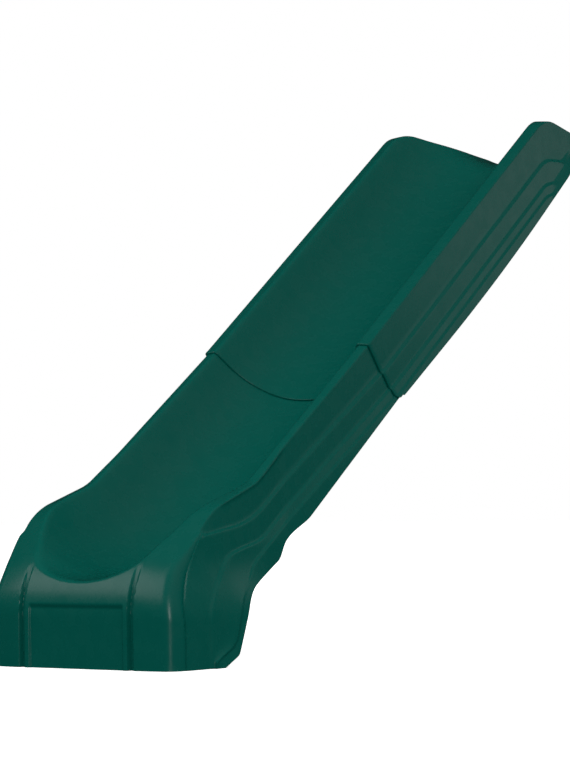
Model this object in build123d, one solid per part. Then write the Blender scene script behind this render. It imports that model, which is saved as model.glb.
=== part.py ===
from build123d import *
import math
import os

# All sizes are in millimetres and degrees.

# Whole slide
deck_height = 1219.0            # top of the deck that the landing lip rests on, a 48 in deck
exit_height = 183.0             # bed above the ground where the slide ends
incline_angle = 36.5            # bed to the ground
run_out = 324.0                 # front face to where the level bed would meet the incline
landing_length = 175.0          # where the incline would meet the landing to the back of the lip
foot_bed_radius = 430.0         # bend of the bed above the foot
top_bed_radius = 190.0          # bend of the bed below the landing

# Section across the incline, heights square to the bed
trough_radius = 208.0
trough_wall_angle = 62.0        # where the round trough turns into its straight wall
crest_height = 150.0            # top of the side walls above the bed
bed_thickness = 7.6             # the two skins fused where the bed meets the underside
rim_half_width = 232.0
first_ledge_drop = 77.0         # below the crest
second_ledge_drop = 123.0
parting_line_drop = 145.0
ledge_step = 7.0                # each ledge stands this much further out
parting_line_steps = 2.8        # how far the parting line stands out, in ledge steps
belly = 10.0                    # the underside bows down by this much above the seam
belly_radius = 8000.0

# Skins and the lapped seam
skin = 4.0
end_wall = 5.0
seam_distance = 679.0           # from the foot's bend to the seam, along the bed
lap = 20.0                      # the upper section covers this much of the lower one
lap_clearance = 0.4
end_gap = 0.2

# Foot
foot_half_width = 254.0         # at the front face
foot_flare = 10.0               # extra half width where the foot is widest
foot_flare_at = 190.0           # from the front face
foot_corner_radius = 30.0
foot_length = 150.0             # along the ground
nose_height = 185.0             # corners and bends of the nose, in the side view
nose_radius = 120.0
nose_back = 160.0
nose_shoulder_height = 335.0
nose_back_radius = 200.0
shoulder_back = 322.0           # where the shoulder turns up into the crest of the incline
shoulder_height = 389.0
shoulder_radius = 150.0
heel_corners = ((50.0, 24.0, 22.0), (110.0, 155.0, 90.0))   # behind the foot: run, height, bend
heel_top = 382.0                # where the heel meets the incline's underside
heel_top_radius = 110.0
flare_end = 438.0               # the foot's extra width has died away by here
flare_radii = (260.0, 300.0)
# front ends of the ledges and the parting line: run, height, bend
first_ledge_front = ((-400.0, 216.0, 0.0), (288.0, 302.0, 300.0))
second_ledge_front = ((106.0, -400.0, 0.0), (106.0, 125.0, 100.0), (187.0, 236.0, 80.0), (322.0, 264.0, 160.0))
parting_line_front = (
    (112.0, -400.0, 0.0), (112.0, 8.0, 0.0), (182.0, 48.0, 60.0), (222.0, 145.0, 110.0), (278.0, 213.0, 150.0))
panel_half_width = 140.0
panel_groove_width = 18.0
panel_groove_depth = 8.0
panel_recess_depth = 5.0
panel_recess_height = 131.0
groove_top = 240.0

# Top end
peak_setback = 139.4            # crest's peak before the bend of the landing
peak_radius = 115.0
crest_fall = 11.0               # slope of the wall tops beyond the peak
wall_end_radius = 12.0
ledge_tails = (20.0, 14.0, 9.0)     # above the deck where each ledge ends
ledge_peak_radius = 100.0
ledge_peak_lean = 0.2           # how much sooner each ledge turns than the crest, for each mm of drop
lip_thickness = 7.6
lip_length = 45.0               # flat lip behind the ends of the side walls
lip_corner_radius = 25.0
deck_hole_radius = 3.5          # for 1/4 in or M6 screws
deck_hole_spacings = (300.0, 100.0)     # outer and inner pair
deck_hole_edge = 20.0           # from the back of the lip

# Seam fasteners, M8
bolt_radius = 4.0
bolt_hole_clearance = 0.5
bolt_head_height = 5.3
bolt_across_flats = 13.0
bolt_spare_length = 3.0
nut_height = 8.0
nut_chamfer = 0.8
thread_clearance = 0.05
washer_radius = 8.5
washer_thickness = 1.6
bolt_x = (166.0, 198.0)         # both sides of the centre line
bolt_height = 22.0              # above the bed line
pocket_half_width = 36.0
pocket_length = 62.0
pocket_height = 42.0            # top of each fastener pocket, above the bed line
hole_length = 20.0              # through both end walls
far = 400.0                     # past every side face, for cutting tools
cutter_height = 1200.0          # past every face square to the incline
trough_cutter_height = 312.0    # above the bed

slope = math.radians(incline_angle)
upper_growth = skin + lap_clearance     # the upper section is this much larger all round
landing_height = deck_height + lip_thickness - upper_growth
incline_run = (landing_height - exit_height) / math.tan(slope)
overall_length = run_out + incline_run + landing_length
crest_peak = run_out + incline_run - peak_setback
wall_end = overall_length - lip_length


def on_incline(along, height):
    # point in the side view: distance up the bed from the foot's bend, height square to the bed
    return (
        run_out + along * math.cos(slope) - height * math.sin(slope),
        exit_height + along * math.sin(slope) + height * math.cos(slope),
    )


def at_run(run, height):
    # the same line, found by its distance from the front face
    along = (run - run_out + height * math.sin(slope)) / math.cos(slope)
    return on_incline(along, height)


def rounded_area(corners):
    # closed area in the side view from (run, height, radius) corners
    area = make_face(Polyline(*[(y, z) for y, z, _ in corners], close=True))
    for y, z, radius in corners:
        if radius:
            area = fillet(area.vertices().sort_by_distance(Vertex(y, z, 0))[0], radius)
    return area


def side_outline():
    # side view of the whole slide, from the ground at the front, over the top and back underneath
    peak = at_run(crest_peak, crest_height)
    end_z = peak[1] - (wall_end - peak[0]) * math.tan(math.radians(crest_fall))
    deck_line = deck_height + upper_growth
    deck_meet = at_run(wall_end, -bed_thickness)
    deck_run = wall_end - (deck_meet[1] - deck_line) / math.tan(slope)
    seam = on_incline(seam_distance, -bed_thickness)
    middle_along = (seam_distance + (deck_run - run_out) / math.cos(slope)) / 2
    return rounded_area([
        (0, 0, 0),
        (0, nose_height, nose_radius),
        (nose_back, nose_shoulder_height, nose_back_radius),
        (shoulder_back, shoulder_height, shoulder_radius),
        (*on_incline(seam_distance, crest_height), 0),
        (*peak, peak_radius),
        (wall_end, end_z, wall_end_radius),
        (wall_end, deck_line, 0),
        (deck_run, deck_line, 0),
        (*on_incline(middle_along, -bed_thickness - 2 * belly), belly_radius),
        (*seam, 0),
        (*at_run(heel_top, -bed_thickness), heel_top_radius),
        *[(foot_length + run, height, radius) for run, height, radius in reversed(heel_corners)],
        (foot_length, 0, 0),
    ])


def below_line(drop, front, tail):
    # everything under a line that follows the crest at a drop above the seam, with its corners in the foot
    height = crest_height - drop
    corner = at_run(crest_peak - drop * ledge_peak_lean, height)
    return rounded_area([
        (-far, -far, 0),
        *front,
        (*on_incline(seam_distance, height), 0),
        (*corner, ledge_peak_radius),
        (wall_end + far, deck_height + tail - far * math.tan(math.radians(crest_fall)), 0),
        (wall_end + far, -far, 0),
    ])


def plan_outline(extra):
    # plan of the slide, widest in the foot
    foot = foot_half_width + extra
    rim = rim_half_width + extra
    side = [(foot, 0), (foot + foot_flare, foot_flare_at), (rim, flare_end), (rim, overall_length)]
    area = make_face(Polyline(*side, *[(-x, y) for x, y in reversed(side)], close=True))
    for (x, y), radius in zip(side, (foot_corner_radius, *flare_radii)):
        for corner_x in (x, -x):
            area = fillet(area.vertices().sort_by_distance(Vertex(corner_x, y, 0))[0], radius)
    return area


def solid_layer(area, extra, growth):
    # one step of the side wall: its side view across the width, trimmed to its plan
    side = extrude(Plane.YZ * offset(area, growth), far, both=True)
    plan = extrude(Pos(0, 0, -far) * offset(plan_outline(extra), growth), 3 * deck_height)
    return side & plan


def ledge_lines():
    # what each lower layer of the wall lies under, with how many ledge steps it stands out
    return [
        (below_line(first_ledge_drop, first_ledge_front, ledge_tails[0]), 1),
        (below_line(second_ledge_drop, second_ledge_front, ledge_tails[1]), 2),
        (below_line(parting_line_drop, parting_line_front, ledge_tails[2]), parting_line_steps),
    ]


def trough(growth):
    # the space that a rider slides through, as a cutter that runs out past both ends
    radius = trough_radius - growth
    angle = math.radians(trough_wall_angle)
    arc_x = radius * math.sin(angle)
    arc_z = radius * (1 - math.cos(angle)) + growth
    top_x = arc_x + (trough_cutter_height - arc_z) / math.tan(angle)
    edges = ThreePointArc((-arc_x, arc_z), (0, growth), (arc_x, arc_z))
    sides = Polyline(
        (arc_x, arc_z), (top_x, trough_cutter_height), (-top_x, trough_cutter_height), (-arc_x, arc_z))
    start = (0, -far, exit_height)
    section = Plane(start, x_dir=(1, 0, 0), z_dir=(0, -1, 0)) * make_face(edges + sides)
    path = FilletPolyline(
        start, (0, run_out, exit_height), (0, run_out + incline_run, landing_height),
        (0, overall_length + far, landing_height), radius=[foot_bed_radius, top_bed_radius])
    return sweep(section, path=path)


def moulding(outline, growth):
    # a whole slide moved outwards by the growth, as one full body
    body = solid_layer(outline, 0, growth)
    for line, steps in ledge_lines():
        body += solid_layer(outline & line, steps * ledge_step, growth)
    return body - trough(growth)


def slab(start, end, low=-cutter_height, high=cutter_height, half_width=far, centre_x=0):
    # block square to the incline, between two distances up the bed and two heights
    y, z = on_incline(start, low)
    plane = Plane((centre_x, y, z), x_dir=(-1, 0, 0), z_dir=(0, math.cos(slope), math.sin(slope)))
    block = Rectangle(2 * half_width, high - low, align=(Align.CENTER, Align.MIN))
    return extrude(plane * block, end - start)


def front_band(outline, half_width, centre_x, height, depth, grow=0):
    # the skin of the foot's front to a depth, across a band of its width
    band = Pos(centre_x, 0, height / 2 + grow / 2 - far / 2) * Box(
        2 * (half_width + grow), 2 * foot_length, height + grow + far)
    inside = extrude(Plane.YZ * offset(outline, -depth - grow), far, both=True)
    below = Pos(0, 0, -2 * (depth + grow)) * inside     # keeps the foot's base whole
    return band - inside - below


def fastener_pockets(grow, sign):
    # pockets in the underside beside the seam; sign is -1 below it and +1 above it
    x = sum(bolt_x) / 2
    ends = sorted([sign * (end_wall - grow), sign * (end_wall + pocket_length + grow)])
    blocks = [
        slab(seam_distance + ends[0], seam_distance + ends[1], -far, pocket_height + grow,
             pocket_half_width + grow, side * x)
        for side in (-1, 1)]
    return blocks[0] + blocks[1]


def bolt_places():
    for side in (-1, 1):
        for x in bolt_x:
            y, z = on_incline(seam_distance, bolt_height)
            yield Plane((side * x, y, z), x_dir=(-1, 0, 0), z_dir=(0, math.cos(slope), math.sin(slope)))


def bolt_holes():
    hole = Cylinder(bolt_radius + bolt_hole_clearance, hole_length)
    return [plane * hole for plane in bolt_places()]


def write(name, shape):
    shape = Pos(0, -overall_length / 2, 0) * shape
    shape.label = name
    export_step(shape, f"parts/{name}.step")
    print(name, len(shape.solids()), round(shape.volume))


def make_lower():
    outline = side_outline()
    keep = slab(-deck_height, seam_distance - end_gap)
    body = moulding(outline, 0) & keep
    grooves = [
        (panel_groove_width / 2, side * (panel_half_width + panel_groove_width / 2), groove_top,
         panel_groove_depth) for side in (-1, 1)]
    recesses = [*grooves, (panel_half_width, 0, panel_recess_height, panel_recess_depth)]
    hollow = moulding(outline, -skin) & slab(-deck_height, seam_distance - end_gap - end_wall)
    for recess in recesses:
        body -= front_band(outline, *recess)
        hollow -= front_band(outline, *recess, grow=skin)
    body -= fastener_pockets(0, -1)
    hollow -= fastener_pockets(skin, -1)
    shell = body - hollow
    for hole in bolt_holes():
        shell -= hole
    return shell


def landing_lip():
    # flat lip that lies on the deck, with the holes for its screws
    reach = lip_length + skin
    centre = overall_length - reach / 2
    plate = Rectangle(2 * rim_half_width, reach)
    plate = fillet(plate.vertices().group_by(Axis.Y)[-1], lip_corner_radius)
    for spacing in deck_hole_spacings:
        for x in (-spacing / 2, spacing / 2):
            plate -= Pos(x, reach / 2 - deck_hole_edge) * Circle(deck_hole_radius)
    return extrude(Pos(0, centre, deck_height) * plate, lip_thickness)


def make_upper():
    outline = side_outline()
    keep = slab(seam_distance, 3 * deck_height)
    outer = moulding(outline, upper_growth)
    body = outer & keep
    hollow = moulding(outline, upper_growth - skin)
    sealed = hollow & slab(seam_distance + end_wall, 3 * deck_height)
    body -= fastener_pockets(0, 1)
    sealed -= fastener_pockets(skin, 1)
    cover = (outer - hollow) & slab(seam_distance - lap, seam_distance, -bed_thickness)
    shell = (body - sealed) + cover + landing_lip()
    for hole in bolt_holes():
        shell -= hole
    return shell


def washers():
    ring = Cylinder(washer_radius, washer_thickness) - Cylinder(bolt_radius + bolt_hole_clearance / 2, far)
    below = -end_gap - end_wall - washer_thickness / 2
    above = end_wall + washer_thickness / 2
    return Compound([plane * Pos(0, 0, z) * ring for plane in bolt_places() for z in (below, above)])


def bolts():
    # heads downhill, in the lower section's pockets
    head = extrude(RegularPolygon(bolt_across_flats / 2, 6, major_radius=False), bolt_head_height)
    head_face = -end_gap - end_wall - washer_thickness
    shank_end = end_wall + washer_thickness + nut_height + bolt_spare_length
    shank = Pos(0, 0, head_face) * Cylinder(
        bolt_radius, shank_end - head_face, align=(Align.CENTER, Align.CENTER, Align.MIN))
    bolt = Pos(0, 0, head_face - bolt_head_height) * head + shank
    return Compound([plane * bolt for plane in bolt_places()])


def lock_nuts():
    nut = extrude(RegularPolygon(bolt_across_flats / 2, 6, major_radius=False), nut_height)
    nut = chamfer(nut.faces().sort_by(Axis.Z)[-1].edges(), nut_chamfer)
    nut -= Cylinder(bolt_radius + thread_clearance, far)
    return Compound([plane * Pos(0, 0, end_wall + washer_thickness) * nut for plane in bolt_places()])


os.makedirs("parts", exist_ok=True)
write("lower_section", make_lower())
write("upper_section", make_upper())
write("seam_bolts", bolts())
write("seam_washers", washers())
write("seam_lock_nuts", lock_nuts())
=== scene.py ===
import math

import bmesh
import bpy
import numpy as np
from mathutils import Matrix, Vector


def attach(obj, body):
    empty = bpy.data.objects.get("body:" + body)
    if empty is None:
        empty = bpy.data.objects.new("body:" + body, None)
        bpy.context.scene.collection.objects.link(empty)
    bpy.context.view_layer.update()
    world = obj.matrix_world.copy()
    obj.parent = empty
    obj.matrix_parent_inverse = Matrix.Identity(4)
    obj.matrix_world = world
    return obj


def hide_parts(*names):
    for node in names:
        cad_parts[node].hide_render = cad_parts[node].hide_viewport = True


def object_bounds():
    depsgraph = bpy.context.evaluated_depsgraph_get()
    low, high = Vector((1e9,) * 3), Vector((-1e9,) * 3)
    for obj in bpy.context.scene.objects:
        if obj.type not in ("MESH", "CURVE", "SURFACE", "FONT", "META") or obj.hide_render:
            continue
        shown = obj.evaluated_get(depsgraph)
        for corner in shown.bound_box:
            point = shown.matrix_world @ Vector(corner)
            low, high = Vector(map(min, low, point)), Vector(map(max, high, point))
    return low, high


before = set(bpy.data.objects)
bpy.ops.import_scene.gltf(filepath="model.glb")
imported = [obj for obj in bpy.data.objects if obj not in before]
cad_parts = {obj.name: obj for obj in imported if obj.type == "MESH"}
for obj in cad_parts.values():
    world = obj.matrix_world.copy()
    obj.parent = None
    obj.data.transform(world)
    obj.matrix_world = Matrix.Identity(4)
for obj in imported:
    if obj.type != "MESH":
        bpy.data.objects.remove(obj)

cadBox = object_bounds()
mm = 0.001
overallLength = (cadBox[1].y - cadBox[0].y) / mm
print("frame loaded", len(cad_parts), "nodes")

# Side view and section of the moulded slide, in millimetres. Runs are measured from the front face.
slide = {
    "incline": 36.5,            # degrees
    "exitHeight": 183.0,
    "runOut": 324.0,            # front face to where the level bed would meet the incline
    "landingHeight": 1222.2,
    "deckHeight": 1219.0,
    "lipLength": 45.0,
    "bedBends": (430.0, 190.0),
    "troughRadius": 208.0,
    "exitFlare": 70.0,          # the trough opens to a wider round at the front lip
    "troughWallAngle": 62.0,
    "crestHeight": 150.0,
    "crownDrop": 4.5,           # the rim slopes this much from its inner to its outer edge
    "bedThickness": 7.6,
    "belly": 10.0,
    "peakSetback": 139.4,
    "crestFall": 11.0,          # degrees
    "seam": 679.0,              # from the foot's bend, up the bed
    "lap": 20.0,
    "skin": 4.0,
    "lapClearance": 0.4,
    "endGap": 0.2,
    "edgeRound": 3.0,           # rounded ends of both mouldings
    "ringStep": 6.6,            # spacing of the mesh along the slide
    "noseSteps": 64,            # rings round the foot's front
    "topSteps": 20,             # rings round the bend into the landing
    "topPivotRun": 1732.0,      # where those last rings turn
    "crestBend": 115.0,
    "bellyBend": 8000.0,
    "rimRound": 5.0,
    "exitFlareRuns": (85.0, 10.0),
    "troughBlend": 12.0,        # soft meeting of the trough and the rim
    "lapCornerShare": 0.7,      # of the lap that the lower corner's round takes
    "lapCornerReach": 60.0,
    "sharpAngle": 42.0,         # degrees, edges above this stay crisp
}
foot = {
    "nose": [(0, 185, 180), (160, 335, 200), (322, 389, 150)],      # run, height, bend
    "length": 150.0,
    "heel": [(200, 24, 22), (260, 155, 90)],
    "heelTop": 382.0,
    "halfWidth": 254.0,
    "widest": 262.0,
    "rimHalfWidth": 232.0,
    "flareEnd": 438.0,
    "lean": 16.0,               # the sides lean in by this much up the nose
    "grooves": (139.0, 157.0),
    "grooveDepth": 10.0,
    "panelHalfWidth": 130.0,
    "panelTop": 131.0,
    "panelDepth": 5.0,
    "heelTopBend": 110.0,
    "edgeLift": 15.0,           # the walls' lower edge rises by this just above the heel
    "edgeLiftRuns": (378.0, 425.0, 430.0, 510.0),       # it rises and falls again between these
    "liftFrom": 170.0,          # across, where the underside starts to follow it
    "widenedBy": 150.0,         # run where the foot is at its widest
    "narrowsFrom": 180.0,
    "leanHeights": (100.0, 240.0),
    "leanRuns": (200.0, 400.0),
    "blockEnd": 430.0,          # rings whose crest is before this close on the heel
    "heelSpread": 1.1,          # above 1 keeps those rings closer together low down
    "frontPivot": (170.0, 60.0),
    "groundStep": 4.0,          # between the level rings below that pivot
    "cornerRound": 31.0,        # added to the rim's round at the front corners
    "cornerRuns": (110.0, 10.0),
    "bowRuns": (170.0, 10.0),
    "bowFrom": (187.0, 46.0),   # across, where the crown starts, and how much nearer at the ground
    "facingSlope": (0.62, 0.92),
    "grooveEdge": 5.0,
    "grooveTop": (238.0, 224.0),
    "panelEdge": (6.0, 5.0, 3.0),       # side slope, then above and below the top edge
    "frontBow": 9.0,            # the pillars' fronts fall back towards the corners
}
ledges = {
    "drops": (77.0, 123.0, 145.0),      # below the crest on the incline
    "fronts": [
        [(-60, 259), (288, 302, 300)],
        [(106, -60), (106, 125, 100), (187, 236, 80), (322, 264, 160)],
        [(112, -60), (112, 8, 0), (182, 48, 60), (222, 145, 110), (278, 213, 150)],
    ],
    "tails": (20.0, 14.0, 9.0),         # above the deck where each ledge ends
    "steps": (5.0, 4.5, 3.5),
    "drift": 1.6,                       # each panel between ledges leans out by this
    "slopeWidth": 10.0,                 # each ledge is a soft slope this wide
    "fade": (1560.0, 1700.0),           # the ledges die out between these runs
    "heelSwell": 5.0,
    "peakLean": 0.2,            # a ledge turns this much of its drop before the crest's peak
    "peakBend": 100.0,
    "shortWall": 6.0,           # a slope is never wider than this share of the wall, 1 in 6
    "spacing": 2.6,             # of half a slope, the least between two ledges
    "bottomMargin": 4.0,
    "firstBlend": 14.0,         # the first ledge runs out into the rim over this
    "slopeParts": (-0.55, -0.15, 0.25, 0.65),
    "panelPoints": (7, 10, 10, 7),
}
grow = slide["skin"] + slide["lapClearance"]
slope = math.radians(slide["incline"])
uphill = np.array([math.cos(slope), math.sin(slope)])
outward = np.array([-math.sin(slope), math.cos(slope)])
inclineRun = (slide["landingHeight"] - slide["exitHeight"]) / math.tan(slope)
wallEnd = overallLength - slide["lipLength"]


def onIncline(along, height):
    start = np.array([slide["runOut"], slide["exitHeight"]])
    return start + along * uphill + height * outward


def atRun(run, height):
    along = (run - slide["runOut"] + height * math.sin(slope)) / math.cos(slope)
    return onIncline(along, height)


def roundedPath(corners, step=3.0):
    # points along straight runs joined by arcs, from (run, height, radius) corners
    points = [np.array(corners[0][:2], float)]
    for before, (y, z, radius), after in zip(corners, corners[1:-1], corners[2:]):
        corner = np.array([y, z], float)
        into = corner - np.array(before[:2], float)
        out = np.array(after[:2], float) - corner
        into /= np.linalg.norm(into)
        out /= np.linalg.norm(out)
        turn = math.atan2(into[0] * out[1] - into[1] * out[0], into @ out)
        if radius == 0 or abs(turn) < 1e-4:
            points.append(corner)
            continue
        reach = radius * math.tan(abs(turn) / 2)
        side = math.copysign(1, turn)
        centre = corner - into * reach + side * radius * np.array([-into[1], into[0]])
        start = math.atan2(*(corner - into * reach - centre)[::-1])
        for part in np.linspace(0, 1, max(4, int(radius * abs(turn) / step))):
            angle = start + part * turn
            points.append(centre + radius * np.array([math.cos(angle), math.sin(angle)]))
    points.append(np.array(corners[-1][:2], float))
    return np.array(points)


def rayHits(starts, directions, path):
    # distance from each start, along its direction, to a path in the side view
    reach = path[None] - starts[:, None]
    side = reach[..., 0] * directions[:, None, 1] - reach[..., 1] * directions[:, None, 0]
    ahead = (reach * directions[:, None]).sum(-1)
    crossing = side[:, :-1] * side[:, 1:] <= 0
    share = side[:, :-1] / np.where(side[:, :-1] == side[:, 1:], 1, side[:, :-1] - side[:, 1:])
    distance = ahead[:, :-1] + share * (ahead[:, 1:] - ahead[:, :-1])
    distance = np.where(crossing & (distance > 0), distance, 1e4)
    return distance.min(1)


def softMin(a, b, blend):
    share = np.clip(0.5 + 0.5 * (b - a) / blend, 0, 1)
    return b * (1 - share) + a * share - blend * share * (1 - share)


def ease(value, low, high):
    part = np.clip((value - low) / (high - low), 0, 1)
    return part * part * (3 - 2 * part)


def nearFront(run, begins, ends):
    # 0 behind the first run, 1 in front of the second
    return ease(-run, -begins, -ends)


def along(path, shares):
    # points at shares of a path's length
    lengths = np.concatenate([[0], np.cumsum(np.linalg.norm(np.diff(path, axis=0), axis=1))])
    return np.stack([np.interp(shares * lengths[-1], lengths, path[:, i]) for i in (0, 1)], 1)


# Side view paths
crestPeak = slide["runOut"] + inclineRun - slide["peakSetback"]
peak = atRun(crestPeak, slide["crestHeight"])
fall = math.tan(math.radians(slide["crestFall"]))
topPath = roundedPath([
    (0, -60), *foot["nose"], (*onIncline(slide["seam"], slide["crestHeight"]), 0),
    (*peak, slide["crestBend"]), (wallEnd + 100, peak[1] - (wallEnd + 100 - peak[0]) * fall)])
deckLine = slide["deckHeight"] + grow
deckMeet = atRun(wallEnd, -slide["bedThickness"])
deckRun = wallEnd - (deckMeet[1] - deckLine) / math.tan(slope)
bellyAlong = (slide["seam"] + (deckRun - slide["runOut"]) / math.cos(slope)) / 2
underPath = roundedPath([
    (foot["length"], 0), *foot["heel"], (*atRun(foot["heelTop"], -slide["bedThickness"]), foot["heelTopBend"]),
    (*onIncline(slide["seam"], -slide["bedThickness"]), 0),
    (*onIncline(bellyAlong, -slide["bedThickness"] - 2 * slide["belly"]), slide["bellyBend"]),
    (deckRun, deckLine, 0), (wallEnd, deckLine)])
bedPath = roundedPath([
    (-400, slide["exitHeight"]), (slide["runOut"], slide["exitHeight"], slide["bedBends"][0]),
    (slide["runOut"] + inclineRun, slide["landingHeight"], slide["bedBends"][1]),
    (overallLength + 400, slide["landingHeight"])])


def ledgePath(drop, front, tail):
    # a line along the side wall, parallel to the crest above the seam
    height = slide["crestHeight"] - drop
    corner = atRun(crestPeak - drop * ledges["peakLean"], height)
    end = slide["deckHeight"] + tail - 100 * fall
    return roundedPath([
        *front, (*onIncline(slide["seam"], height), 0), (*corner, ledges["peakBend"]), (wallEnd + 100, end)])


ledgePaths = [ledgePath(*line) for line in zip(ledges["drops"], ledges["fronts"], ledges["tails"])]


def wallPlan(run, height):
    # half width of the rim: widest low down in the foot
    low = foot["halfWidth"] + (foot["widest"] - foot["halfWidth"]) * ease(run, 0, foot["widenedBy"])
    narrowing = ease(run, foot["narrowsFrom"], foot["flareEnd"])
    leaning = foot["lean"] * ease(height, *foot["leanHeights"]) * (1 - ease(run, *foot["leanRuns"]))
    return low + (foot["rimHalfWidth"] - foot["widest"]) * narrowing - leaning


frontPivot = np.array(foot["frontPivot"])
pivotHeight = (frontPivot - onIncline(0, 0)) @ outward
pivotAlong = (frontPivot - onIncline(0, 0)) @ uphill
topPivotAlong = (slide["topPivotRun"] - frontPivot[0]) / uphill[0] + pivotAlong
inclineAngle = math.pi / 2 + slope


def roundedStart(start, end):
    # places from start to end, close together where the edge is rounded
    radius = slide["edgeRound"]
    return [*(start + radius * np.array([0, 0.08, 0.3, 0.6, 1])),
            *np.linspace(start, end, max(3, int(abs(end - start) / slide["ringStep"])))[2:]]


def stationsOf(start, end):
    # rays that sweep the section from the ground at the front to the back of the landing
    starts, angles = [], []
    if start is None:
        for z in np.arange(0, frontPivot[1], foot["groundStep"]):
            starts.append((frontPivot[0], z))
            angles.append(math.pi)
        for angle in np.linspace(math.pi, inclineAngle, slide["noseSteps"])[:-1]:
            starts.append(frontPivot)
            angles.append(angle)
        places = np.linspace(pivotAlong, end, int((end - pivotAlong) / slide["ringStep"]))
    else:
        places = roundedStart(start, topPivotAlong)
    for place in places:
        starts.append(onIncline(place, pivotHeight))
        angles.append(inclineAngle)
    if end is None:
        pivot = starts[-1]
        for angle in np.linspace(inclineAngle, math.pi / 2, slide["topSteps"])[1:]:
            starts.append(pivot)
            angles.append(angle)
        for run in roundedStart(-wallEnd, -pivot[0])[::-1]:
            starts.append((-run, pivot[1]))
            angles.append(math.pi / 2)
    angles = np.array(angles)
    return np.array(starts), np.stack([np.cos(angles), np.sin(angles)], 1)


def edgeGrowth(starts, growth, start):
    # growth at each section, less where the ends of the upper moulding are rounded
    radius = slide["edgeRound"]
    fromStart = (starts - onIncline(start, pivotHeight)) @ uphill
    toEnd = wallEnd - starts[:, 0]
    near = np.clip(1 - np.minimum(fromStart, toEnd) / radius, 0, 1)
    return growth - radius * (1 - np.sqrt(1 - near ** 2))


def underPoints(starts, directions, tops, growths, lapped):
    # the underside point that closes each section; through the foot they follow the heel down
    back = rayHits(starts + directions * 60, -directions, underPath) - 60
    points = starts - directions * (back + np.where(lapped, -0.2, growths))[:, None]
    footEnd = atRun(foot["blockEnd"], slide["crestHeight"])
    inFoot = (tops - footEnd) @ uphill < 0
    if inFoot.any():
        count = inFoot.sum()
        lengths = np.cumsum(np.linalg.norm(np.diff(tops[:count + 1], axis=0), axis=1))
        shares = np.concatenate([[0], lengths]) / lengths[-1]
        heel = underPath[underPath[:, 0] < points[count][0]]
        heel = np.vstack([heel, points[count]])
        points[:count] = along(heel, shares[:count] ** foot["heelSpread"])
    deck = starts[:, 0] > deckRun - 5
    points[deck, 1] = np.maximum(points[deck, 1], slide["deckHeight"])
    return points


def bedDepths(starts, directions):
    # how far each ray reaches to the bed raised by each level, for the trough's round section
    levels = np.concatenate([np.linspace(0, 40, 11), np.linspace(50, 260, 15)])
    normals = np.gradient(bedPath, axis=0)
    normals = np.stack([-normals[:, 1], normals[:, 0]], 1)
    normals /= np.linalg.norm(normals, axis=1)[:, None]
    return levels, np.stack([rayHits(starts, directions, bedPath + normals * level) for level in levels], 1)


def ledgeCrossings(tops, unders):
    # distance down the wall to each ledge, 0 where it hasn't begun
    length = np.linalg.norm(unders - tops, axis=1)
    crossings = []
    for path in ledgePaths:
        reach = rayHits(tops, (unders - tops) / length[:, None], path)
        found = np.flatnonzero(reach <= length)
        held = np.interp(np.arange(len(tops)), found, reach[found])     # past its end a ledge keeps its place
        crossings.append(np.where((reach > length) & (tops[:, 0] < foot["flareEnd"]), 0.0, held))
    return crossings


def acrossShares():
    # points across half a section, closer together at the groove; 1 is where the rim's round starts
    inner, outer = foot["grooves"]
    width = 235
    return np.concatenate([np.linspace(0, inner - 12, 40), np.linspace(inner - 9, outer + 9, 26),
                           np.linspace(outer + 12, width, 26)]) / width


def frontRelief(x, z):
    # depth of the two grooves and the sunk panel in the foot's front
    inner, outer = foot["grooves"]
    slopeWide = foot["grooveEdge"]
    high, low = foot["grooveTop"]
    groove = foot["grooveDepth"] * (ease(x, inner, inner + slopeWide) - ease(x, outer - slopeWide, outer))
    groove = groove * ease(-z, -high, -low)
    side, above, below = foot["panelEdge"]
    recess = foot["panelDepth"] * (nearFront(x, foot["panelHalfWidth"], foot["panelHalfWidth"] - side)
                                   * ease(-z, -foot["panelTop"] - above, below - foot["panelTop"]))
    return groove + recess


def wallProfile(wallLength, marks, steps, fading, nearGround):
    # (distance down the wall, distance out) for three ledges and the panels between them
    half = min(ledges["slopeWidth"], wallLength / ledges["shortWall"]) / 2
    gap = ledges["spacing"] * half
    spots = list(marks)
    spots[0] = max(spots[0], half + 1)
    for k in (1, 2):
        spots[k] = max(spots[k], spots[k - 1] + gap)
    room = wallLength - ledges["bottomMargin"] - gap * np.array([2, 1, 0]) - half
    ends = [0.0, *np.minimum(spots, room), wallLength]
    drift = ledges["drift"] * fading
    low = 0.0
    points = []
    for k, count in enumerate(ledges["panelPoints"]):
        begin = ends[k] + (half if k else 0.5)
        end = ends[k + 1] - (half if k < 3 else 0.5)
        for part in np.linspace(0, 1, count):
            swell = ledges["heelSwell"] * part ** 3 * nearGround if k == 2 else 0
            points.append((begin + (end - begin) * part, low + drift * part + swell))
        low += drift
        if k < 3:
            swell = ledges["heelSwell"] * nearGround if k == 2 else 0
            for part in ledges["slopeParts"]:
                rising = ease(part, -0.9, 0.9)
                points.append((ends[k + 1] + half * part, low + steps[k] * rising + swell * (1 - rising)))
            low += steps[k]
    return np.array(points)


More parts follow.
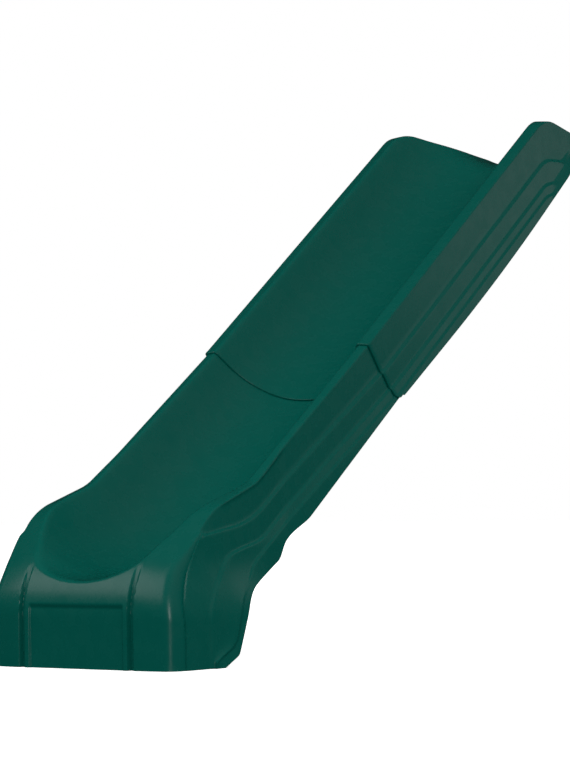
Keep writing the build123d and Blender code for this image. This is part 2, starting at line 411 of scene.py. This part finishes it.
def sectionRings(starts, directions, growth, seamStart=None):
    # every ring: across the top, down the wall, back underneath; returns rings of (x, run, height)
    upper = seamStart is not None
    growths = edgeGrowth(starts, growth, seamStart) if upper else np.zeros(len(starts))
    places = (starts - onIncline(0, pivotHeight)) @ uphill
    outline = rayHits(starts, directions, topPath) + growths
    tops = starts + directions * outline[:, None]
    unders = underPoints(starts, directions, tops, growths, upper & (places < slide["seam"]))
    levels, depths = bedDepths(starts, directions)
    wall = math.radians(slide["troughWallAngle"])
    flaring = nearFront(tops[:, 0], *slide["exitFlareRuns"])
    radii = slide["troughRadius"] - growths + slide["exitFlare"] * flaring
    facing = ease(-directions[:, 0], *foot["facingSlope"])      # 1 where a ray meets the front of the foot
    nearGround = nearFront(tops[:, 0], *foot["bowRuns"])
    rimRadius = slide["rimRound"] + foot["cornerRound"] * nearFront(tops[:, 0], *foot["cornerRuns"])
    rimX = wallPlan(tops[:, 0], tops[:, 1]) + growths
    crown = slide["crownDrop"] + foot["frontBow"] * nearGround
    spread = acrossShares()
    crossings = ledgeCrossings(tops, unders)
    fading = 1 - ease(tops[:, 0], *ledges["fade"])
    rises, tall, falls, gone = foot["edgeLiftRuns"]
    lifts = foot["edgeLift"] * ease(unders[:, 0], rises, tall) * (1 - ease(unders[:, 0], falls, gone))
    rings = []
    for i in range(len(starts)):
        firstStep = ease(crossings[0][i], rimRadius[i], rimRadius[i] + ledges["firstBlend"])
        steps = np.array(ledges["steps"]) * fading[i]
        rim = rimX[i] + steps[0] * (1 - firstStep)      # where the first ledge has run out, the rim takes its step
        steps[0] *= firstStep
        x = spread * (rim - rimRadius[i])
        radius = radii[i]
        arcEnd = radius * math.sin(wall)
        arcRise = radius * (1 - math.cos(wall))
        rise = np.where(x < arcEnd, radius - np.sqrt(np.maximum(radius ** 2 - x ** 2, 0)),
                        arcRise + (x - arcEnd) * math.tan(wall)) + growths[i]
        inside = np.interp(rise, levels, depths[i])
        bandStart = foot["bowFrom"][0] - foot["bowFrom"][1] * nearGround[i]
        band = np.clip((x - bandStart) / (rim - bandStart), 0, None)
        surface = outline[i] - crown[i] * band ** 1.5
        z = starts[i][1] + directions[i][1] * surface
        surface = surface - facing[i] * frontRelief(x, z)
        top = softMin(surface, inside, slide["troughBlend"])
        ring = [np.column_stack([x, starts[i] + directions[i] * top[:, None]])]
        # rounded rim, then the stepped side wall
        turn = np.linspace(0, math.pi / 2, 9)[1:]
        edge = starts[i] + directions[i] * (top[-1] - rimRadius[i] * (1 - np.cos(turn)))[:, None]
        ring.append(np.column_stack([x[-1] + rimRadius[i] * np.sin(turn), edge]))
        wallTop = edge[-1]
        raised = (wallTop - unders[i]) * lifts[i] / np.linalg.norm(wallTop - unders[i])
        wallFoot = unders[i] + raised
        wallLength = np.linalg.norm(wallFoot - wallTop)
        marks = [c[i] - rimRadius[i] for c in crossings]
        profile = wallProfile(wallLength, marks, steps, fading[i], nearGround[i])
        line = wallTop + (wallFoot - wallTop) * profile[:, :1] / wallLength
        plan = wallPlan(line[:, 0], line[:, 1]) - wallPlan(tops[i, 0], tops[i, 1])
        outX = rim + plan + profile[:, 1]
        ring.append(np.column_stack([outX, line]))
        # underneath, rising to the wall's lower edge where that is lifted
        lastX = outX[-1] - 3
        underX = spread[::-1] * lastX
        ring.append(np.column_stack([underX, unders[i] + ease(underX, foot["liftFrom"], lastX)[:, None] * raised]))
        ring = np.vstack(ring)
        if upper:
            # the lapping end's lower corner is cut to a round
            lap = slide["lap"]
            corner = np.clip((lap - (ring[:, 1:] - unders[i]) @ outward) / lap, 0, 1)
            share = max(0, 1 - (places[i] - seamStart) / slide["lapCornerReach"])
            back = lap * slide["lapCornerShare"] * (1 - np.sqrt(1 - corner ** 2)) * share
            ring[:, 1:] += back[:, None] * uphill
        rings.append(ring)
    return np.array(rings)


def meshFromRings(name, rings):
    # mirrors each half ring, joins the rings with quads and closes both ends
    count = rings.shape[1]
    bm = bmesh.new()
    loops = []
    for ring in rings:
        place = [Vector((x, y - overallLength / 2, z)) * mm for x, y, z in ring]
        right = [bm.verts.new(p) for p in place]
        left = [right[i] if abs(place[i].x) < 1e-7 else bm.verts.new((-place[i].x, place[i].y, place[i].z))
                for i in range(count)]
        loops.append(right + left[::-1][1:-1])
    size = len(loops[0])
    for a, b in zip(loops, loops[1:]):
        for i in range(size):
            j = (i + 1) % size
            bm.faces.new((a[i], a[j], b[j], b[i]))
    bm.faces.new(loops[0][::-1])
    bm.faces.new(loops[-1])
    bmesh.ops.recalc_face_normals(bm, faces=bm.faces)
    return finishMesh(name, bm)


def finishMesh(name, bm):
    mesh = bpy.data.meshes.new(name)
    bm.to_mesh(mesh)
    bm.free()
    piece = bpy.data.objects.new(name, mesh)
    bpy.context.scene.collection.objects.link(piece)
    return piece


def combine(piece, other, operation):
    # exact boolean, applied at once; the other shape is used up
    modifier = piece.modifiers.new("combine", "BOOLEAN")
    modifier.operation = operation
    modifier.solver = "EXACT"
    modifier.object = other
    evaluated = piece.evaluated_get(bpy.context.evaluated_depsgraph_get())
    mesh = bpy.data.meshes.new_from_object(evaluated)
    piece.modifiers.clear()
    piece.data = mesh
    bpy.data.objects.remove(other)


lip = {
    "thickness": 7.6,
    "sunk": 20.0,               # run that is inside the landing
    "cornerRadius": 25.0,
    "holeRadius": 3.5,
    "holeSpacings": (300.0, 100.0),
    "holeEdge": 20.0,
    "edgeRound": 1.2,
}


def deckLip():
    # flat plate behind the side walls, with rounded back corners
    half = foot["rimHalfWidth"]
    radius = lip["cornerRadius"]
    back = overallLength
    outline = [(half, wallEnd - lip["sunk"])]
    for turn in np.linspace(0, math.pi / 2, 10):
        outline.append((half - radius + radius * math.cos(turn), back - radius + radius * math.sin(turn)))
    outline += [(-x, y) for x, y in outline[::-1]]
    bm = bmesh.new()
    low = slide["deckHeight"]
    base = [bm.verts.new(Vector((x, y - overallLength / 2, low)) * mm) for x, y in outline]
    bm.faces.new(base)
    grown = bmesh.ops.extrude_face_region(bm, geom=bm.faces[:])
    raised = [v for v in grown["geom"] if isinstance(v, bmesh.types.BMVert)]
    bmesh.ops.translate(bm, verts=raised, vec=(0, 0, lip["thickness"] * mm))
    bmesh.ops.recalc_face_normals(bm, faces=bm.faces)
    rim = [e for e in bm.edges if abs(e.verts[0].co.z - e.verts[1].co.z) < 1e-6]
    bmesh.ops.bevel(bm, geom=rim, offset=lip["edgeRound"] * mm, segments=3, profile=0.5, affect="EDGES")
    return finishMesh("deckLip", bm)


def drill(x, run, height):
    bm = bmesh.new()
    place = Vector((x, run - overallLength / 2, height)) * mm
    bmesh.ops.create_cone(bm, cap_ends=True, segments=32, radius1=lip["holeRadius"] * mm,
                          radius2=lip["holeRadius"] * mm, depth=40 * mm, matrix=Matrix.Translation(place))
    return finishMesh("drill", bm)


pockets = {
    "centre": 182.0,            # across, between the two bolts of a side
    "halfWidth": 36.0,
    "length": 62.0,
    "endWall": 5.0,
    "height": 42.0,             # above the bed line
    "depth": 90.0,              # reaches out below the underside
    "cornerRound": 5.0,
}


def pocketCutter(side, sign):
    # block square to the incline, open below, with rounded corners
    first = slide["seam"] + sign * pockets["endWall"]
    last = first + sign * pockets["length"]
    bm = bmesh.new()
    bmesh.ops.create_cube(bm, size=1)
    size = Vector((2 * pockets["halfWidth"], pockets["length"], pockets["depth"])) * mm
    bmesh.ops.scale(bm, vec=size, verts=bm.verts)
    bmesh.ops.bevel(bm, geom=bm.edges[:], offset=pockets["cornerRound"] * mm, segments=3, affect="EDGES")
    middle = onIncline((first + last) / 2, pockets["height"] - pockets["depth"] / 2)
    turn = Matrix.Rotation(slope, 4, "X")
    place = Vector((side * pockets["centre"], middle[0] - overallLength / 2, middle[1])) * mm
    bmesh.ops.transform(bm, matrix=Matrix.Translation(place) @ turn, verts=bm.verts)
    return finishMesh("pocketCutter", bm)


lowerRings = sectionRings(*stationsOf(None, slide["seam"] - slide["endGap"]), 0)
lowerVisual = meshFromRings("lowerMoulding", lowerRings)
print("lower moulding", len(lowerVisual.data.polygons), "faces")
lapStart = slide["seam"] - slide["lap"]
upperRings = sectionRings(*stationsOf(lapStart, None), grow, lapStart)
upperVisual = meshFromRings("upperMoulding", upperRings)
combine(upperVisual, deckLip(), "UNION")
for spacing in lip["holeSpacings"]:
    for side in (-1, 1):
        hole = drill(side * spacing / 2, overallLength - lip["holeEdge"], slide["deckHeight"])
        combine(upperVisual, hole, "DIFFERENCE")
for side in (-1, 1):
    combine(lowerVisual, pocketCutter(side, -1), "DIFFERENCE")
    combine(upperVisual, pocketCutter(side, -1), "DIFFERENCE")
    combine(upperVisual, pocketCutter(side, 1), "DIFFERENCE")
for piece in (lowerVisual, upperVisual):
    for face in piece.data.polygons:
        face.use_smooth = True
    piece.data.set_sharp_from_angle(angle=math.radians(slide["sharpAngle"]))
print("upper moulding", len(upperVisual.data.polygons), "faces")


def linear(colour):
    # sRGB hex to linear RGBA
    parts = [int(colour[i:i + 2], 16) / 255 for i in (1, 3, 5)]
    return [c / 12.92 if c <= 0.04045 else ((c + 0.055) / 1.055) ** 2.4 for c in parts] + [1]


def addNode(tree, kind, links=(), **settings):
    # settings are the node's own values; links feed its sockets with a value or another node's output.
    # A mix node's numbered inputs are 2 and 3 for numbers, 6 and 7 for colours.
    node = tree.nodes.new(kind)
    for key, value in settings.items():
        setattr(node, key, value)
    for socket, source in dict(links).items():
        if isinstance(source, bpy.types.NodeSocket):
            tree.links.new(source, node.inputs[socket])
        else:
            node.inputs[socket].default_value = source
    return node


def newMaterial(name):
    material = bpy.data.materials.new(name)
    material.use_nodes = True
    return material, material.node_tree, material.node_tree.nodes["Principled BSDF"]


polyethylene = {
    "body": "#005b50",
    "pale": "#006055",          # where the pigment is a little thinner
    "scuff": "#0f685c",         # dry rubbed streaks on the bed
    "roughness": (0.23, 0.31),
    "specular": 0.24,
    "peel": 2.6,                # mm, orange peel of the mould's cast aluminium face
    "peelDepth": 0.12,
    "waviness": 85.0,           # mm, slow waves left by shrinkage
    "waveDepth": 1.6,
    "mottle": 34.0,             # mm
    "scuffWidth": 3.2,          # mm across the slide
    "scuffLength": 190.0,       # mm along it
    "scuffSpread": 60.0,        # mm through it
    "scuffPatch": 160.0,        # mm, scuffs come in patches this large
    "scuffGloss": 0.2,          # added roughness
}


def perMetre(size):
    # noise scale for features of a size in millimetres
    return 1 / (size * mm)


def mouldedPolyethylene():
    # Rotomoulded polyethylene: a satin skin with faint orange peel and slow waves, even deep colour,
    # and hair-fine dry scuffs along the bed from use.
    material, tree, shader = newMaterial("rotomouldedPolyethylene")
    spec = polyethylene
    place = addNode(tree, "ShaderNodeTexCoord").outputs["Object"]
    mottle = addNode(tree, "ShaderNodeTexNoise", {
        "Vector": place, "Scale": perMetre(spec["mottle"]), "Detail": 3.0, "Roughness": 0.55})
    tint = addNode(tree, "ShaderNodeMix", {
        "Factor": mottle.outputs["Fac"], 6: linear(spec["body"]), 7: linear(spec["pale"])}, data_type="RGBA")
    # streaks run along the incline: the turned coordinates have Y up the bed
    turned = addNode(tree, "ShaderNodeMapping", {
        "Vector": place, "Rotation": (-slope, 0, 0),
        "Scale": (perMetre(spec["scuffWidth"]), perMetre(spec["scuffLength"]), perMetre(spec["scuffSpread"]))})
    streaks = addNode(tree, "ShaderNodeTexNoise", {
        "Vector": turned.outputs["Vector"], "Scale": 1.0, "Detail": 4.0, "Roughness": 0.65})
    fine = addNode(tree, "ShaderNodeMapRange", {
        "Value": streaks.outputs["Fac"], "From Min": 0.60, "From Max": 0.78, "To Min": 0.0, "To Max": 1.0})
    patches = addNode(tree, "ShaderNodeTexNoise", {
        "Vector": place, "Scale": perMetre(spec["scuffPatch"]), "Detail": 1.0})
    patchy = addNode(tree, "ShaderNodeMapRange", {
        "Value": patches.outputs["Fac"], "From Min": 0.42, "From Max": 0.66, "To Min": 0.0, "To Max": 0.5})
    # only surfaces that face up are slid on
    facing = addNode(tree, "ShaderNodeSeparateXYZ", {
        "Vector": addNode(tree, "ShaderNodeNewGeometry").outputs["Normal"]}).outputs["Z"]
    slidOn = addNode(tree, "ShaderNodeMapRange", {
        "Value": facing, "From Min": 0.60, "From Max": 0.80, "To Min": 0.0, "To Max": 1.0})
    wear = addNode(tree, "ShaderNodeMath", {
        0: fine.outputs["Result"], 1: patchy.outputs["Result"]}, operation="MULTIPLY")
    wear = addNode(tree, "ShaderNodeMath", {
        0: wear.outputs["Value"], 1: slidOn.outputs["Result"]}, operation="MULTIPLY")
    colour = addNode(tree, "ShaderNodeMix", {
        "Factor": wear.outputs["Value"], 6: tint.outputs[2], 7: linear(spec["scuff"])}, data_type="RGBA")
    tree.links.new(colour.outputs[2], shader.inputs["Base Color"])
    gloss = addNode(tree, "ShaderNodeMapRange", {
        "Value": mottle.outputs["Fac"], "From Min": 0.3, "From Max": 0.7,
        "To Min": spec["roughness"][0], "To Max": spec["roughness"][1]})
    worn = addNode(tree, "ShaderNodeMath", {
        0: wear.outputs["Value"], 1: spec["scuffGloss"], 2: gloss.outputs["Result"]}, operation="MULTIPLY_ADD")
    tree.links.new(worn.outputs["Value"], shader.inputs["Roughness"])
    peel = addNode(tree, "ShaderNodeTexNoise", {"Vector": place, "Scale": perMetre(spec["peel"]), "Detail": 1.0})
    waves = addNode(tree, "ShaderNodeTexNoise", {
        "Vector": place, "Scale": perMetre(spec["waviness"]), "Detail": 0.0})
    waveBump = addNode(tree, "ShaderNodeBump", {
        "Height": waves.outputs["Fac"], "Strength": 0.3, "Distance": spec["waveDepth"] * mm})
    peelBump = addNode(tree, "ShaderNodeBump", {
        "Height": peel.outputs["Fac"], "Strength": 0.25, "Distance": spec["peelDepth"] * mm,
        "Normal": waveBump.outputs["Normal"]})
    tree.links.new(peelBump.outputs["Normal"], shader.inputs["Normal"])
    shader.inputs["IOR"].default_value = 1.54
    shader.inputs["Specular IOR Level"].default_value = spec["specular"]
    return material


zinc = {
    "bright": "#c9ccd0",
    "dull": "#9aa0a6",
    "roughness": (0.26, 0.42),
    "spangle": 1.6,             # mm
    "relief": 0.05,             # mm
}


def zincPlatedSteel():
    # Zinc plated steel: turned and headed, then plated bright, so a cool grey with a faint cloudiness.
    material, tree, shader = newMaterial("zincPlatedSteel")
    place = addNode(tree, "ShaderNodeTexCoord").outputs["Object"]
    clouds = addNode(tree, "ShaderNodeTexNoise", {
        "Vector": place, "Scale": perMetre(zinc["spangle"]), "Detail": 3.0})
    tint = addNode(tree, "ShaderNodeMix", {
        "Factor": clouds.outputs["Fac"], 6: linear(zinc["bright"]), 7: linear(zinc["dull"])}, data_type="RGBA")
    tree.links.new(tint.outputs[2], shader.inputs["Base Color"])
    gloss = addNode(tree, "ShaderNodeMapRange", {
        "Value": clouds.outputs["Fac"], "From Min": 0.3, "From Max": 0.7,
        "To Min": zinc["roughness"][0], "To Max": zinc["roughness"][1]})
    tree.links.new(gloss.outputs["Result"], shader.inputs["Roughness"])
    bump = addNode(tree, "ShaderNodeBump", {
        "Height": clouds.outputs["Fac"], "Strength": 0.2, "Distance": zinc["relief"] * mm})
    tree.links.new(bump.outputs["Normal"], shader.inputs["Normal"])
    shader.inputs["Metallic"].default_value = 1.0
    return material


def setMaterial(piece, material):
    piece.data.materials.clear()
    piece.data.materials.append(material)


green = mouldedPolyethylene()
for piece, node in ((lowerVisual, "lower_section"), (upperVisual, "upper_section")):
    setMaterial(piece, green)
    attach(piece, "root")
    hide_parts(node)
plated = zincPlatedSteel()
for node in ("seam_bolts", "seam_washers", "seam_lock_nuts"):
    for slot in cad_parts[node].material_slots:
        slot.material = plated
print("materials set")


def addFloor():
    bpy.ops.mesh.primitive_plane_add(size=40, location=(0, 0, 0))
    floor = bpy.context.object
    floor.name = "floor"
    material, tree, shader = newMaterial("whiteSeamlessPaper")
    place = addNode(tree, "ShaderNodeTexCoord").outputs["Object"]
    grain = addNode(tree, "ShaderNodeTexNoise", {"Vector": place, "Scale": perMetre(400.0), "Detail": 2.0})
    tint = addNode(tree, "ShaderNodeMix", {
        "Factor": grain.outputs["Fac"], 6: linear("#fbfbfa"), 7: linear("#f6f6f5")}, data_type="RGBA")
    tree.links.new(tint.outputs[2], shader.inputs["Base Color"])
    shader.inputs["Roughness"].default_value = 0.95
    shader.inputs["Specular IOR Level"].default_value = 0.1
    shader.inputs["Emission Color"].default_value = (1, 1, 1, 1)
    shader.inputs["Emission Strength"].default_value = 0.72     # lit from behind, so its edge meets the white
    floor.data.materials.append(material)
    floor.visible_glossy = False            # keeps the white floor from washing out the plastic
    floor.visible_diffuse = False


# places and sizes in metres, power in watts
lamps = {
    "frontLeft": {"place": (-3.0, -4.4, 3.5), "target": (0, -0.85, 0.25), "size": (4.2, 2.8), "power": 76},
    "frontRight": {"place": (2.6, -4.9, 1.1), "target": (0.2, -0.9, 0.25), "size": (0.6, 2.0), "power": 42},
    "side": {"place": (3.6, 5.2, 2.2), "target": (0.2, 0.4, 1.0), "size": (2.4, 1.6), "power": 7},
    "underside": {"place": (-1.2, 4.6, 0.9), "target": (0, 0.3, 0.6), "size": (2.5, 1.0), "power": 60},
}


def addLight(name, place, target, size, power):
    light = bpy.data.lights.new(name, "AREA")
    light.shape = "RECTANGLE"
    light.size, light.size_y = size
    light.energy = power
    lamp = bpy.data.objects.new(name, light)
    bpy.context.scene.collection.objects.link(lamp)
    lamp.location = place
    lamp.rotation_euler = (Vector(target) - Vector(place)).to_track_quat("-Z", "Y").to_euler()
    lamp.visible_camera = False


studio = {
    "horizon": 0.17,        # soft light from low on every side
    "zenith": 0.64,
    "below": 0.03,
    "side": 2.8,            # times as bright towards the slide's right
    "mirrored": 0.01,      # what the plastic reflects where no lamp stands
}


def addWorld():
    # white to the eye behind the slide; a soft room, dark below, to everything it lights
    world = bpy.data.worlds.new("studio")
    bpy.context.scene.world = world
    world.use_nodes = True
    tree = world.node_tree
    direction = addNode(tree, "ShaderNodeSeparateXYZ", {
        "Vector": addNode(tree, "ShaderNodeTexCoord").outputs["Generated"]})
    height = direction.outputs["Z"]
    above = addNode(tree, "ShaderNodeMapRange", {
        "Value": height, "From Min": 0.1, "From Max": 0.8,
        "To Min": studio["horizon"], "To Max": studio["zenith"]})
    room = addNode(tree, "ShaderNodeMapRange", {
        "Value": height, "From Min": -0.15, "From Max": 0.05,
        "To Min": studio["below"], "To Max": above.outputs["Result"]})
    sideways = addNode(tree, "ShaderNodeMapRange", {
        "Value": direction.outputs["X"], "From Min": 0.1, "From Max": 0.9,
        "To Min": 1.0, "To Max": studio["side"]})
    room = addNode(tree, "ShaderNodeMath", {0: room.outputs["Result"], 1: sideways.outputs["Result"]},
                   operation="MULTIPLY")
    rays = addNode(tree, "ShaderNodeLightPath")
    lighting = addNode(tree, "ShaderNodeMix", {
        "Factor": rays.outputs["Is Diffuse Ray"], 2: studio["mirrored"], 3: room.outputs["Value"]})
    strength = addNode(tree, "ShaderNodeMix", {
        "Factor": rays.outputs["Is Camera Ray"], 2: lighting.outputs[0], 3: 1.0})
    background = tree.nodes["Background"]
    background.inputs["Color"].default_value = (1, 1, 1, 1)
    tree.links.new(strength.outputs[0], background.inputs["Strength"])


# angles in radians, lens and sensor in millimetres
view = {
    "azimuth": 0.6263,
    "pitch": 0.0434,
    "roll": -0.0163,
    "lens": 123.2,
    "sensor": 36.0,
    "fromFront": (3.5565, -4.1518, 0.3602),     # metres from the middle of the foot's front, on the ground
}


def addCamera():
    cosine, sine = math.cos(view["azimuth"]), math.sin(view["azimuth"])
    forward = Vector((-sine * math.cos(view["pitch"]), cosine * math.cos(view["pitch"]), math.sin(view["pitch"])))
    right = Vector((cosine, sine, 0))
    up = right.cross(forward)
    rolled = right * math.cos(view["roll"]) + up * math.sin(view["roll"])
    above = -right * math.sin(view["roll"]) + up * math.cos(view["roll"])
    data = bpy.data.cameras.new("camera")
    data.lens = view["lens"]
    data.sensor_width = view["sensor"]
    camera = bpy.data.objects.new("camera", data)
    bpy.context.scene.collection.objects.link(camera)
    turn = Matrix((rolled, above, -forward)).transposed()
    place = Vector(view["fromFront"]) + Vector((0, -overallLength / 2 * mm, 0))
    camera.matrix_world = Matrix.Translation(place) @ turn.to_4x4()
    bpy.context.scene.camera = camera


addFloor()
addWorld()
for name, lamp in lamps.items():
    addLight(name, **lamp)
addCamera()
bpy.context.scene.view_settings.view_transform = "Standard"
